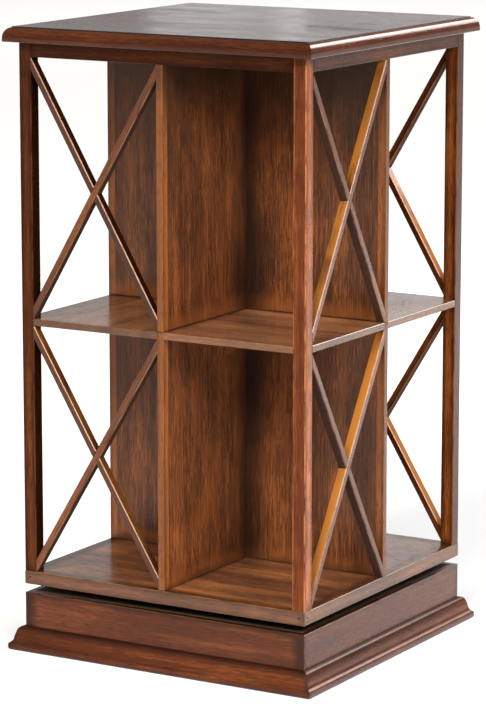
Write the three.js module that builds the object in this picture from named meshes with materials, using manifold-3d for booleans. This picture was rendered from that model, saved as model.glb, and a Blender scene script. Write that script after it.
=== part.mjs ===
// Revolving bookcase: a square two-tier case that turns on a ball-bearing swivel over a moulded plinth.
// Millimetres, +Z up, origin on the floor under the middle of the base, front face towards -Y.
import * as THREE from "three";
import { mergeVertices } from "three/addons/utils/BufferGeometryUtils.js";
import Module from "manifold-3d";

const wasm = await Module();
wasm.setup();

// ---------------------------------------------------------------------------------- driving dimensions
const CASE_WIDTH = 468; // square plan of the turning case and of the plinth under it
const PLINTH_HEIGHT = 85.25;
const SWIVEL_GAP = 12.5; // from the plinth's top to the case's underside
const BOTTOM_BOARD = 19.75;
const SHELF_TOP = 491;
const SHELF_THICKNESS = 10;
const APRON_HEIGHT = 21.25;
const APRON_SET_BACK = 0.25; // the aprons lie just behind the posts' faces
const TOP_UNDERSIDE = 887.75;
const TOP_THICKNESS = 21.75;
const POST_SIZE = 20; // square section of the corner posts
const POST_ROUND = 1.5;
const PARTITION = 10; // thickness of the two crossing partitions
const SLOT_CLEARANCE = 0.3;

const BAR_WIDTH = 10; // of a lattice bar, square to its length
const BAR_DEPTH = 14;
const LAP_CLEARANCE = 0.3;

const TOP_PANEL_WIDTH = 481.5;
const NOSE_REACH = 10.25; // how far the nose moulding stands out from the top panel
const NOSE_DROP = 1.5; // how far the nose lies below the top panel's surface
const NOSE_FLAT = 4.75; // upright band under the nose's round

const PLINTH_BOARD = 9;
const DECK_THICKNESS = 12;
const GLUE_BLOCK = 26;
const GLUE_BLOCK_FOOT = 6; // the glue blocks stop this far above the floor

const PLATE_SIZE = 220;
const PLATE_CORNER = 14;
const PLATE_THICKNESS = 1.5;
const PLATE_OPENING = 52; // radius of the hole in the middle of each swivel plate
const RACE_RADIUS = 80;
const RACE_HALF_WIDTH = 9;
const RACE_HEIGHT = 3.5;
const BALL_RADIUS = 3.1;
const BALL_CLEARANCE = 0.4;
const BALL_COUNT = 18;
const CAGE_HALF_WIDTH = 6.5;
const CAGE_THICKNESS = 0.9;
const SCREW_SPREAD = 94; // from the middle to each screw, along X and along Y
const SCREW_RADIUS = 1.9;
const SCREW_LENGTH = 10.4;
const SCREW_POINT = 2.6;
const SCREW_HEAD_RADIUS = 4;
const SCREW_HEAD_RIM = 0.7;
const SCREW_HEAD_HEIGHT = 2.2;
const SCREW_CLEARANCE = 0.3;
const RECESS_LENGTH = 4.2;
const RECESS_WIDTH = 0.9;
const RECESS_DEPTH = 1.2;
const RING_SEGMENTS = 64;
const GROOVE_STEPS = 6;

// ------------------------------------------------------------------------------------- derived heights
const HALF = CASE_WIDTH / 2;
const POST_INNER = HALF - POST_SIZE;
const CASE_UNDERSIDE = PLINTH_HEIGHT + SWIVEL_GAP;
const CASE_FLOOR = CASE_UNDERSIDE + BOTTOM_BOARD;
const SHELF_UNDERSIDE = SHELF_TOP - SHELF_THICKNESS;
const APRON_UNDERSIDE = TOP_UNDERSIDE - APRON_HEIGHT;
const TOP_SURFACE = TOP_UNDERSIDE + TOP_THICKNESS;
const DECK_UNDERSIDE = PLINTH_HEIGHT - DECK_THICKNESS;
const SWIVEL_MIDDLE = PLINTH_HEIGHT + SWIVEL_GAP / 2;
const PILOT_RADIUS = SCREW_RADIUS + SCREW_CLEARANCE;
const SCREW_PLACES = [
  [-SCREW_SPREAD, -SCREW_SPREAD],
  [SCREW_SPREAD, -SCREW_SPREAD],
  [SCREW_SPREAD, SCREW_SPREAD],
  [-SCREW_SPREAD, SCREW_SPREAD],
];

// ------------------------------------------------------------------------------------------- materials
const finish = (color, roughness, metalness = 0) =>
  new THREE.MeshStandardMaterial({ color, roughness, metalness });

const MAHOGANY = finish(0x6b3320, 0.3);
const VENEER = finish(0x5a3020, 0.34);
const TOP_MAHOGANY = finish(0x6a3526, 0.18);
const LATTICE_MAHOGANY = finish(0x7a3c22, 0.3);
const PLAIN_WOOD = finish(0x8a6440, 0.75);
const PLATED_STEEL = finish(0xb4b6b8, 0.35, 1);
const BALL_STEEL = finish(0xd2d4d6, 0.15, 1);
const SCREW_STEEL = finish(0x9a968c, 0.4, 1);

// ---------------------------------------------------------------------------------------- small helpers
const rack = new THREE.Group(); // everything that turns
const base = new THREE.Group(); // everything that stands still

/** Put a named piece in a group. */
function place(group, name, geometry, look) {
  const piece = new THREE.Mesh(geometry, look);
  piece.name = name;
  group.add(piece);
  return piece;
}

/** A closed geometry as a solid that can be joined and cut. */
function solid(geometry) {
  const bare = geometry.clone();
  bare.deleteAttribute("normal");
  bare.deleteAttribute("uv");
  const merged = mergeVertices(bare, 1e-4);
  const vertProperties = new Float32Array(merged.attributes.position.array);
  const triVerts = new Uint32Array(merged.index.array);
  return new wasm.Manifold(new wasm.Mesh({ numProp: 3, vertProperties, triVerts }));
}

/** A solid's skin as a geometry. */
function skin(body) {
  const result = body.getMesh();
  const geometry = new THREE.BufferGeometry();
  geometry.setAttribute("position", new THREE.BufferAttribute(result.vertProperties, 3));
  geometry.setIndex(new THREE.BufferAttribute(result.triVerts, 1));
  geometry.computeVertexNormals();
  return geometry;
}

/** A box between its lowest and highest corners. */
function block(low, high) {
  const geometry = new THREE.BoxGeometry(...high.map((value, axis) => value - low[axis]));
  return geometry.translate(...high.map((value, axis) => (value + low[axis]) / 2));
}

/** A closed outline through points. */
const outline = (points) => new THREE.Shape(points.map(([x, y]) => new THREE.Vector2(x, y)));

/** An outline in plan, carried up from one height to another. */
function upright(shape, from, to) {
  const settings = { depth: to - from, bevelEnabled: false, curveSegments: 3 };
  return new THREE.ExtrudeGeometry(shape, settings).translate(0, 0, from);
}

/** An outline across and up the front, carried back from y = front to y = back. */
function frontal(shape, front, back) {
  const settings = { depth: back - front, bevelEnabled: false };
  return new THREE.ExtrudeGeometry(shape, settings).rotateX(Math.PI / 2).translate(0, back, 0);
}

/** A ring or a turned piece: an outline of (radius, height) about the vertical axis. */
function turned(points, segments) {
  const profile = points.map(([radius, height]) => new THREE.Vector2(radius, height));
  return new THREE.LatheGeometry(profile, segments).rotateX(Math.PI / 2);
}

/** A vertical peg for boring a hole. */
function peg(x, y, radius, from, to) {
  const geometry = new THREE.CylinderGeometry(radius, radius, to - from, 20).rotateX(Math.PI / 2);
  return solid(geometry.translate(x, y, (from + to) / 2));
}

/** A rectangle in plan with rounded corners. */
function roundedRectangle(x0, y0, x1, y1, radius) {
  const shape = new THREE.Shape();
  shape.absarc(x1 - radius, y0 + radius, radius, -Math.PI / 2, 0);
  shape.absarc(x1 - radius, y1 - radius, radius, 0, Math.PI / 2);
  shape.absarc(x0 + radius, y1 - radius, radius, Math.PI / 2, Math.PI);
  shape.absarc(x0 + radius, y0 + radius, radius, Math.PI, Math.PI * 1.5);
  return shape;
}

/**
 * One length of moulding on the front edge of a square, mitred at both ends. Its profile is drawn
 * anticlockwise as (out from the square's edge, up).
 */
function mitredMoulding(profile, halfSquare) {
  const ring = profile.extractPoints(5).shape;
  const count = ring.length;
  const positions = [];
  for (const side of [-1, 1]) {
    for (const { x: out, y: up } of ring) {
      positions.push(side * (halfSquare + out), -(halfSquare + out), up);
    }
  }
  const triangles = [];
  for (let here = 0; here < count; here += 1) {
    const next = (here + 1) % count;
    triangles.push(here, count + here, count + next, here, count + next, next);
  }
  for (const [a, b, c] of THREE.ShapeUtils.triangulateShape(ring, [])) {
    triangles.push(a, b, c, count + a, count + c, count + b);
  }
  const geometry = new THREE.BufferGeometry();
  geometry.setAttribute("position", new THREE.Float32BufferAttribute(positions, 3));
  geometry.setIndex(triangles);
  geometry.computeVertexNormals();
  return geometry;
}

// The case and the base are the same on all four sides, so what the front has is repeated by quarter
// turns: the front's left-hand post becomes the right-hand side's, and so on round.
const SIDES = ["front", "right", "back", "left"];
const POST_CORNERS = ["front_left", "front_right", "back_right", "back_left"];
const SHELF_CORNERS = ["front_right", "back_right", "back_left", "front_left"];
const TIERS = [
  { tier: "lower", from: CASE_FLOOR, to: SHELF_UNDERSIDE },
  { tier: "upper", from: SHELF_TOP, to: APRON_UNDERSIDE },
];

/** A group turned by quarter turns about the middle. */
function quarterTurn(group, quarter) {
  const turn = new THREE.Group();
  turn.rotation.z = (quarter * Math.PI) / 2;
  group.add(turn);
  return turn;
}

// ------------------------------------------------------------------------------------------ the lattice
/**
 * The outline of one diagonal bar between the post and the partition. Its ends are cut upright, and
 * `spare` widens it for the notch that the other bar is let into.
 */
function barOutline(low, high, rising, spare = 0) {
  const left = -POST_INNER;
  const right = -PARTITION / 2;
  const run = right - left;
  const rise = high - low;
  // upright height of the cut end, from width * sqrt(1 + ((rise - end) / run)^2) = end
  const squares = run ** 2 - BAR_WIDTH ** 2;
  const inside = BAR_WIDTH ** 4 * rise ** 2 + squares * BAR_WIDTH ** 2 * (run ** 2 + rise ** 2);
  const end = (Math.sqrt(inside) - BAR_WIDTH ** 2 * rise) / squares;
  const extra = (spare * end) / BAR_WIDTH;
  const [atLow, atHigh] = rising ? [left, right] : [right, left];
  return outline([
    [atLow, low - extra],
    [atHigh, high - end - extra],
    [atHigh, high + extra],
    [atLow, low + end + extra],
  ]);
}

/** The two bars of one lattice cross, half-lapped where they meet and flush front and back. */
function latticeCross({ from, to }) {
  const front = -HALF;
  const back = front + BAR_DEPTH;
  const lap = front + BAR_DEPTH / 2;
  const whole = (rising) => solid(frontal(barOutline(from, to, rising), front, back));
  const notch = (rising, near, far) =>
    solid(frontal(barOutline(from, to, rising, LAP_CLEARANCE), near, far));
  const rising = whole(true).subtract(notch(false, lap - LAP_CLEARANCE / 2, back + 1));
  const falling = whole(false).subtract(notch(true, front - 1, lap + LAP_CLEARANCE / 2));
  return { rising: skin(rising), falling: skin(falling) };
}

// --------------------------------------------------------------------------------------------- the case
/** A corner post, standing on the case's floor at the front's left-hand corner. */
const post = () =>
  upright(roundedRectangle(-HALF, -HALF, -POST_INNER, -POST_INNER, POST_ROUND), CASE_FLOOR, TOP_UNDERSIDE);

/** The rail under the top, between two posts. */
const apron = () =>
  block([-POST_INNER, APRON_SET_BACK - HALF, APRON_UNDERSIDE], [POST_INNER, -POST_INNER, TOP_UNDERSIDE]);

/** A quarter of the shelf, notched round its corner post. */
function shelf() {
  const inner = PARTITION / 2;
  const plan = outline([
    [inner, -HALF],
    [POST_INNER, -HALF],
    [POST_INNER, -POST_INNER],
    [HALF, -POST_INNER],
    [HALF, -inner],
    [inner, -inner],
  ]);
  return upright(plan, SHELF_UNDERSIDE, SHELF_TOP);
}

/**
 * An upright board across the whole case, notched behind the aprons, and slotted up to or down from
 * its middle so that the two boards cross.
 */
function partition(slottedFromTop) {
  const middle = (CASE_FLOOR + TOP_UNDERSIDE) / 2;
  const slot = PARTITION / 2 + SLOT_CLEARANCE;
  const slotAtTop = [
    [slot, TOP_UNDERSIDE],
    [slot, middle - SLOT_CLEARANCE],
    [-slot, middle - SLOT_CLEARANCE],
    [-slot, TOP_UNDERSIDE],
  ];
  const slotAtBottom = [
    [-slot, CASE_FLOOR],
    [-slot, middle + SLOT_CLEARANCE],
    [slot, middle + SLOT_CLEARANCE],
    [slot, CASE_FLOOR],
  ];
  const face = outline([
    [-HALF, CASE_FLOOR],
    ...(slottedFromTop ? [] : slotAtBottom),
    [HALF, CASE_FLOOR],
    [HALF, APRON_UNDERSIDE],
    [POST_INNER, APRON_UNDERSIDE],
    [POST_INNER, TOP_UNDERSIDE],
    ...(slottedFromTop ? slotAtTop : []),
    [-POST_INNER, TOP_UNDERSIDE],
    [-POST_INNER, APRON_UNDERSIDE],
    [-HALF, APRON_UNDERSIDE],
  ]);
  return frontal(face, -PARTITION / 2, PARTITION / 2);
}

/** The thumbnail nose round the top: an elliptical round over a narrow upright band. */
function noseProfile() {
  const profile = new THREE.Shape();
  const round = TOP_UNDERSIDE + NOSE_FLAT;
  profile.moveTo(0, TOP_UNDERSIDE);
  profile.lineTo(NOSE_REACH - 1.5, TOP_UNDERSIDE);
  profile.quadraticCurveTo(NOSE_REACH, TOP_UNDERSIDE, NOSE_REACH, TOP_UNDERSIDE + 1.5);
  profile.absellipse(0, round, NOSE_REACH, TOP_SURFACE - NOSE_DROP - round, 0, Math.PI / 2);
  return profile;
}

function addCase() {
  const floorBoard = block([-HALF, -HALF, CASE_UNDERSIDE], [HALF, HALF, CASE_FLOOR]);
  place(rack, "bottom_board", bored(floorBoard, CASE_UNDERSIDE - 1, CASE_UNDERSIDE + SCREW_LENGTH), MAHOGANY);
  const panel = TOP_PANEL_WIDTH / 2;
  place(rack, "top_panel", block([-panel, -panel, TOP_UNDERSIDE], [panel, panel, TOP_SURFACE]), TOP_MAHOGANY);
  place(rack, "partition_across", partition(true), VENEER);
  place(rack, "partition_through", partition(false), VENEER).rotation.z = Math.PI / 2;

  const crosses = TIERS.map(latticeCross);
  SIDES.forEach((side, quarter) => {
    const turn = quarterTurn(rack, quarter);
    place(turn, `post_${POST_CORNERS[quarter]}`, post(), MAHOGANY);
    place(turn, `apron_${side}`, apron(), MAHOGANY);
    place(turn, `top_moulding_${side}`, mitredMoulding(noseProfile(), panel), TOP_MAHOGANY);
    place(turn, `shelf_${SHELF_CORNERS[quarter]}`, shelf(), VENEER);
    TIERS.forEach(({ tier }, level) => {
      const { rising, falling } = crosses[level];
      place(turn, `lattice_${side}_${tier}_rising`, rising, LATTICE_MAHOGANY);
      place(turn, `lattice_${side}_${tier}_falling`, falling, LATTICE_MAHOGANY);
    });
  });
}

// --------------------------------------------------------------------------------------------- the base
/** The base moulding: a ledge, a round shoulder, a steep face that flares out, and a round toe. */
function baseProfile() {
  const profile = new THREE.Shape();
  profile.moveTo(0, 0);
  profile.lineTo(15.5, 0);
  profile.quadraticCurveTo(19, 0.5, 19, 5.5);
  profile.quadraticCurveTo(19, 9.5, 17.5, 10.5);
  profile.quadraticCurveTo(13.6, 12.5, 12.6, 16.5);
  profile.quadraticCurveTo(11.6, 22, 9.8, 27);
  profile.quadraticCurveTo(8, 33, 3.5, 34);
  profile.lineTo(0, 34.5);
  return profile;
}

function addBase() {
  const inside = HALF - PLINTH_BOARD;
  const deck = block([-inside, -inside, DECK_UNDERSIDE], [inside, inside, PLINTH_HEIGHT]);
  place(base, "base_deck", bored(deck, PLINTH_HEIGHT - SCREW_LENGTH, PLINTH_HEIGHT + 1), PLAIN_WOOD);
  for (const [side, direction] of [["left", -1], ["right", 1]]) {
    const [low, high] = [direction * inside, direction * HALF].sort((a, b) => a - b);
    place(base, `plinth_${side}`, block([low, -HALF, 0], [high, HALF, PLINTH_HEIGHT]), MAHOGANY);
  }
  for (const [side, direction] of [["front", -1], ["back", 1]]) {
    const [low, high] = [direction * inside, direction * HALF].sort((a, b) => a - b);
    place(base, `plinth_${side}`, block([-inside, low, 0], [inside, high, PLINTH_HEIGHT]), MAHOGANY);
  }
  const glueBlock = outline([
    [-inside, -inside],
    [GLUE_BLOCK - inside, -inside],
    [-inside, GLUE_BLOCK - inside],
  ]);
  SIDES.forEach((side, quarter) => {
    const turn = quarterTurn(base, quarter);
    place(turn, `base_moulding_${side}`, mitredMoulding(baseProfile(), HALF), MAHOGANY);
    const corner = upright(glueBlock, GLUE_BLOCK_FOOT, DECK_UNDERSIDE);
    place(turn, `glue_block_${POST_CORNERS[quarter]}`, corner, PLAIN_WOOD);
  });
}

// ------------------------------------------------------------------------------------------- the swivel
/** A board with the blind pilot holes that the swivel's screws go into. */
function bored(board, from, to) {
  let body = solid(board);
  for (const [x, y] of SCREW_PLACES) body = body.subtract(peg(x, y, PILOT_RADIUS, from, to));
  return skin(body);
}

/** A swivel plate lying on the plinth: pressed steel with a raised race for the balls. */
function swivelPlate() {
  const half = PLATE_SIZE / 2;
  const top = PLINTH_HEIGHT + PLATE_THICKNESS;
  const sheet = upright(roundedRectangle(-half, -half, half, half, PLATE_CORNER), PLINTH_HEIGHT, top);
  const raceTop = top + RACE_HEIGHT;
  const groove = BALL_RADIUS + BALL_CLEARANCE;
  const lip = Math.acos((SWIVEL_MIDDLE - raceTop) / groove);
  const race = [
    [RACE_RADIUS - RACE_HALF_WIDTH, top - 1],
    [RACE_RADIUS + RACE_HALF_WIDTH, top - 1],
    [RACE_RADIUS + RACE_HALF_WIDTH, raceTop],
  ];
  for (let step = 0; step <= GROOVE_STEPS; step += 1) {
    const angle = lip - (2 * lip * step) / GROOVE_STEPS;
    race.push([RACE_RADIUS + groove * Math.sin(angle), SWIVEL_MIDDLE - groove * Math.cos(angle)]);
  }
  race.push([RACE_RADIUS - RACE_HALF_WIDTH, raceTop], race[0]);
  let plate = solid(sheet).add(solid(turned(race, RING_SEGMENTS)));
  plate = plate.subtract(peg(0, 0, PLATE_OPENING, PLINTH_HEIGHT - 1, top + 1));
  for (const [x, y] of SCREW_PLACES) {
    plate = plate.subtract(peg(x, y, PILOT_RADIUS, PLINTH_HEIGHT - 1, top + 1));
  }
  return skin(plate);
}

/** The thin ring between the races that keeps the balls apart, with its balls. */
function ballCage() {
  const [inner, outer] = [RACE_RADIUS - CAGE_HALF_WIDTH, RACE_RADIUS + CAGE_HALF_WIDTH];
  const [low, high] = [SWIVEL_MIDDLE - CAGE_THICKNESS / 2, SWIVEL_MIDDLE + CAGE_THICKNESS / 2];
  const section = [[inner, low], [outer, low], [outer, high], [inner, high], [inner, low]];
  let cage = solid(turned(section, RING_SEGMENTS));
  for (let ball = 0; ball < BALL_COUNT; ball += 1) {
    const angle = (2 * Math.PI * ball) / BALL_COUNT;
    const sphere = new THREE.IcosahedronGeometry(BALL_RADIUS, 1);
    sphere.translate(RACE_RADIUS * Math.cos(angle), RACE_RADIUS * Math.sin(angle), SWIVEL_MIDDLE);
    cage = cage.add(solid(sphere));
  }
  return skin(cage);
}

/** A pan-head screw with a cross recess, its head resting at height 0 and its point down. */
function screw() {
  const profile = [
    [0, -SCREW_LENGTH],
    [SCREW_RADIUS, SCREW_POINT - SCREW_LENGTH],
    [SCREW_RADIUS, 0],
    [SCREW_HEAD_RADIUS, 0],
    [SCREW_HEAD_RADIUS, SCREW_HEAD_RIM],
    [SCREW_HEAD_RADIUS * 0.8, SCREW_HEAD_HEIGHT * 0.8],
    [0, SCREW_HEAD_HEIGHT],
  ];
  const [long, wide] = [RECESS_LENGTH / 2, RECESS_WIDTH / 2];
  const [bottom, top] = [SCREW_HEAD_HEIGHT - RECESS_DEPTH, SCREW_HEAD_HEIGHT + 1];
  const recess = solid(block([-long, -wide, bottom], [long, wide, top]))
    .add(solid(block([-wide, -long, bottom], [wide, long, top])));
  return skin(solid(turned(profile, 20)).subtract(recess));
}

/** The upper plate is the lower one turned over, and each plate is held by a screw at each corner. */
function addSwivel() {
  place(base, "swivel_plate_lower", swivelPlate(), PLATED_STEEL);
  place(base, "ball_cage", ballCage(), BALL_STEEL);
  const upper = place(rack, "swivel_plate_upper", swivelPlate(), PLATED_STEEL);
  upper.rotation.x = Math.PI;
  upper.position.z = 2 * SWIVEL_MIDDLE;
  SCREW_PLACES.forEach(([x, y], corner) => {
    const lower = place(base, `screw_lower_${POST_CORNERS[corner]}`, screw(), SCREW_STEEL);
    lower.position.set(x, y, PLINTH_HEIGHT + PLATE_THICKNESS);
    const hanging = place(rack, `screw_upper_${POST_CORNERS[corner]}`, screw(), SCREW_STEEL);
    hanging.rotation.x = Math.PI;
    hanging.position.set(x, y, CASE_UNDERSIDE - PLATE_THICKNESS);
  });
}

addBase();
addSwivel();
addCase();

const bookcase = new THREE.Group();
bookcase.add(base, rack);
export default bookcase;
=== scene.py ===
"""Looks for a revolving bookcase: a mahogany case with lattice sides that turns on a plinth.

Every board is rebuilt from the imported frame's boxes with its arrises eased and its grain laid along
it, the swivel between case and plinth is turned from its sections, and the whole stands in a plain
pale studio. Lengths are metres, +Z is up, and the front of the bookcase faces -Y.
"""
import logging
import math
import random
from dataclasses import dataclass, field
from enum import Enum
from typing import Any, Iterable, Sequence

import bmesh
import bpy
from mathutils import Matrix, Vector


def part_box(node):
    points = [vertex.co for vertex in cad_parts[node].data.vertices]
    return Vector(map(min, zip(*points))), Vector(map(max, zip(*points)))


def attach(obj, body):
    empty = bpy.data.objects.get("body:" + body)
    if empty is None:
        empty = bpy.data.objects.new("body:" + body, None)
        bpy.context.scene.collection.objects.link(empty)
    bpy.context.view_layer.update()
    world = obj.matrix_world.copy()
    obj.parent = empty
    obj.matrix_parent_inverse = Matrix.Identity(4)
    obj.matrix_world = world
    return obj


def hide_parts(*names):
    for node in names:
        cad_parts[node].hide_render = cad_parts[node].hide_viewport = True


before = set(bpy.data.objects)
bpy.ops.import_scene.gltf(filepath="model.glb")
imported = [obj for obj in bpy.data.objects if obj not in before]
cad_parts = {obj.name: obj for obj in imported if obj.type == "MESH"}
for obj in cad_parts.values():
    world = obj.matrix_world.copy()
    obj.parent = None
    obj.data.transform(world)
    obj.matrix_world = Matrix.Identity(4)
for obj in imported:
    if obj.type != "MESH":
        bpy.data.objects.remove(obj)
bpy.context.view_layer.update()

LOG = logging.getLogger("bookcase")
MM = 0.001
TOUCH = 0.01 * MM  # two places closer than this are the same
SHARP = math.radians(60.0)  # the least turn at an edge between two flat sides
CREASE = 35.0  # degrees past which a board's edge is shaded sharp
MOULDING_CREASE = 50.0
PARALLEL = 0.9999  # the least cosine between two directions that count as the same
CHAMFER = 1  # faces across a chamfer
X_AXIS, Y_AXIS, Z_AXIS = Vector((1.0, 0.0, 0.0)), Vector((0.0, 1.0, 0.0)), Vector((0.0, 0.0, 1.0))
# each list starts with the piece that the others are quarter turns of
SIDES = ("front", "right", "back", "left")
POST_CORNERS = ("front_left", "front_right", "back_right", "back_left")
SHELF_CORNERS = ("front_right", "back_right", "back_left", "front_left")
FIGURE_PLACES = (-40.0, 40.0)  # metres in the timber's pattern that a board may be taken from
COMMON_TONES = (0.86, 1.14)
# boards made darker or lighter than their neighbours: part is the wood's own tone, part is painted light
# and shade, with the front right post lightened and the front left post, the front apron under the nose's
# shadow and the cross partition darkened
TONES_AND_PAINTED_LIGHT = {
    "post_front_left": 0.42, "post_front_right": 2.6, "post_back_right": 0.80,
    "apron_front": 0.26, "apron_right": 0.40, "top_moulding_front": 0.64,
    "partition_across": 0.72, "partition_through": 1.1,
    "lattice_front_upper_falling": 0.42, "lattice_front_lower_falling": 0.66,
}
CASE_HEIGHTS = tuple(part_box(n)[1].z for n in ("shelf_front_right", "bottom_board"))  # tops of the levels
Colour = tuple[float, float, float]
Outline = Sequence[tuple[float, float]]
Work = bmesh.types.BMesh  # a piece while it is being shaped


# ---- shader arithmetic ----
class Socket:
    """A shader socket that takes part in Python arithmetic.

    A number socket adds Math nodes and a vector socket adds Vector Math nodes, so that an expression
    reads as the sum it makes.
    """

    def __init__(self, tree: bpy.types.NodeTree, socket: bpy.types.NodeSocket) -> None:
        """Wraps one output socket of a node in the tree."""
        self.tree = tree
        self.socket = socket

    @property
    def is_vector(self) -> bool:
        """True for a socket that carries three numbers."""
        return self.socket.type == "VECTOR"

    def apply(self, operation: str, *others: Any, swap: bool = False) -> "Socket":
        """Adds the Math or Vector Math node for an operation.

        Args:
            operation: The node's operation, such as "ADD".
            others: The other operands, as sockets, numbers or vectors.
            swap: True to put this socket second.

        Returns:
            The node's result.
        """
        operands = [*others, self] if swap else [self, *others]
        vector = any(isinstance(o, tuple) or getattr(o, "is_vector", False) for o in operands)
        node = self.tree.nodes.new("ShaderNodeVectorMath" if vector else "ShaderNodeMath")
        node.operation = operation
        for slot, operand in zip(node.inputs, operands):
            if isinstance(operand, Socket):
                self.tree.links.new(operand.socket, slot)
            elif slot.type == "VECTOR":
                slot.default_value = operand if isinstance(operand, tuple) else (operand,) * 3
            else:
                slot.default_value = operand
        return Socket(self.tree, node.outputs[0])

    def __add__(self, other: Any) -> "Socket":
        """self + other"""
        return self.apply("ADD", other)

    def __radd__(self, other: Any) -> "Socket":
        """other + self"""
        return self.apply("ADD", other, swap=True)

    def __sub__(self, other: Any) -> "Socket":
        """self - other"""
        return self.apply("SUBTRACT", other)

    def __rsub__(self, other: Any) -> "Socket":
        """other - self"""
        return self.apply("SUBTRACT", other, swap=True)

    def __mul__(self, other: Any) -> "Socket":
        """self * other"""
        return self.apply("MULTIPLY", other)

    def __rmul__(self, other: Any) -> "Socket":
        """other * self"""
        return self.apply("MULTIPLY", other, swap=True)

    def __abs__(self) -> "Socket":
        """abs(self)"""
        return self.apply("ABSOLUTE")

    def above(self, edge: Any) -> "Socket":
        """1 where the value is greater than the edge, else 0."""
        return self.apply("GREATER_THAN", edge)

    def below(self, edge: Any) -> "Socket":
        """1 where the value is less than the edge, else 0."""
        return self.apply("LESS_THAN", edge)

    def least(self, other: Any) -> "Socket":
        """The smaller of two values."""
        return self.apply("MINIMUM", other)

    def most(self, other: Any) -> "Socket":
        """The greater of two values."""
        return self.apply("MAXIMUM", other)


class Recipe:
    """A material's node tree, written as expressions on sockets."""

    def __init__(self, name: str) -> None:
        """Makes an empty material of that name, which holds only its output."""
        self.material = bpy.data.materials.new(name)
        self.material.use_nodes = True
        self.tree = self.material.node_tree
        self.tree.nodes.clear()

    def node(self, kind: str, settings: dict[str, Any] | None = None, output: int | str = 0,
             **inputs: Any) -> Socket:
        """Adds a node.

        Args:
            kind: The node's type, without its "ShaderNode" prefix.
            settings: The node's own properties. "stops" gives a ramp's (position, colour) pairs.
            output: The index or name of the output wanted.
            inputs: Values or sockets for the node's inputs, by name, with _ for a space.

        Returns:
            The wanted output.
        """
        node = self.tree.nodes.new(f"ShaderNode{kind}")
        for key, value in (settings or {}).items():
            if key == "stops":
                self._set_stops(node.color_ramp, value)
            else:
                setattr(node, key, value)
        for key, value in inputs.items():
            slot = self._input(node, key.replace("_", " "))
            if isinstance(value, Socket):
                self.tree.links.new(value.socket, slot)
            else:
                slot.default_value = value
        return Socket(self.tree, node.outputs[output])

    @staticmethod
    def _input(node: bpy.types.Node, name: str) -> bpy.types.NodeSocket:
        """The node's first input of that name that its settings leave in use."""
        return next(slot for slot in node.inputs if slot.name == name and slot.enabled)

    @staticmethod
    def _set_stops(ramp: bpy.types.ColorRamp, stops: Sequence[tuple[float, Sequence[float]]]) -> None:
        """Gives a ramp its stops."""
        while len(ramp.elements) < len(stops):
            ramp.elements.new(1.0)
        for element, (position, colour) in zip(ramp.elements, stops):
            element.position = position
            element.color = (*colour, 1.0)

    def attribute(self, name: str, output: str = "Vector") -> Socket:
        """A named attribute of the piece's mesh."""
        return self.node("Attribute", {"attribute_name": name}, output)

    def split(self, vector: Socket) -> tuple[Socket, Socket, Socket]:
        """The three numbers of a vector."""
        node = self.tree.nodes.new("ShaderNodeSeparateXYZ")
        self.tree.links.new(vector.socket, node.inputs[0])
        return tuple(Socket(self.tree, slot) for slot in node.outputs)

    def noise(self, place: Socket, stretch: Sequence[float], detail: float = 2.0,
              roughness: float = 0.5) -> Socket:
        """Noise about 0.5 on a stretched place, so many cells to the metre each way."""
        return self.node("TexNoise", {"noise_dimensions": "3D"}, "Fac", Vector=place * tuple(stretch),
                         Scale=1.0, Detail=detail, Roughness=roughness)

    def ease(self, value: Socket, low: float, high: float) -> Socket:
        """A smooth step from 0 at low to 1 at high."""
        return self.node("MapRange", {"interpolation_type": "SMOOTHSTEP"}, 0, Value=value,
                         From_Min=low, From_Max=high, To_Min=0.0, To_Max=1.0)

    def ramp(self, value: Socket, stops: Sequence[tuple[float, Sequence[float]]]) -> Socket:
        """A colour from a value, through a ramp's stops."""
        return self.node("ValToRGB", {"stops": stops}, "Color", Fac=value)

    def blend(self, factor: Socket | float, first: Any, second: Any, kind: str = "MIX") -> Socket:
        """Mixes two colours; kind is the Mix node's blend type."""
        settings = {"data_type": "RGBA", "blend_type": kind, "clamp_factor": True}
        colours = [c if isinstance(c, Socket) else (*c, 1.0) for c in (first, second)]
        return self.node("Mix", settings, 2, Factor=factor, A=colours[0], B=colours[1])

    def bump(self, height: Socket, distance: float, strength: float = 1.0) -> Socket:
        """A normal raised by a height of 0 to 1 over a distance in metres."""
        return self.node("Bump", None, 0, Height=height, Distance=distance, Strength=strength)

    def finish(self, **inputs: Any) -> bpy.types.Material:
        """Closes the recipe with a Principled shader that has these inputs."""
        shader = self.node("BsdfPrincipled", None, 0, **inputs)
        output = self.tree.nodes.new("ShaderNodeOutputMaterial")
        self.tree.links.new(shader.socket, output.inputs["Surface"])
        return self.material


class BoardRecipe(Recipe):
    """A recipe that reads what every board's mesh carries about where each point lies in its board."""

    def __init__(self, name: str) -> None:
        """Makes an empty material of that name and reads the board.

        "place" is the point's place along, across and through the board, moved by an offset that makes
        the board's figure its own.
        """
        super().__init__(name)
        board = self.attribute("board")
        self.place = board + self.attribute("board_offset")
        self.tone = self.attribute("board_tone", "Fac")
        self.arris = self.attribute("board_arris", "Fac")
        along, across, _ = self.split(board)
        half_along, half_across, _ = self.split(self.attribute("board_half"))
        self.from_top = half_along - along
        self.from_middle = abs(across)
        self.to_end = half_along - abs(along)
        self.to_edge = half_across - abs(across)

    def height(self) -> Socket:
        """The point's height above the floor."""
        return self.split(self.node("TexCoord", None, "Object"))[2]

    def facing_up(self) -> Socket:
        """How far the side faces upwards, from -1 to 1."""
        return self.split(self.node("NewGeometry", None, "Normal"))[2]


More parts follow.
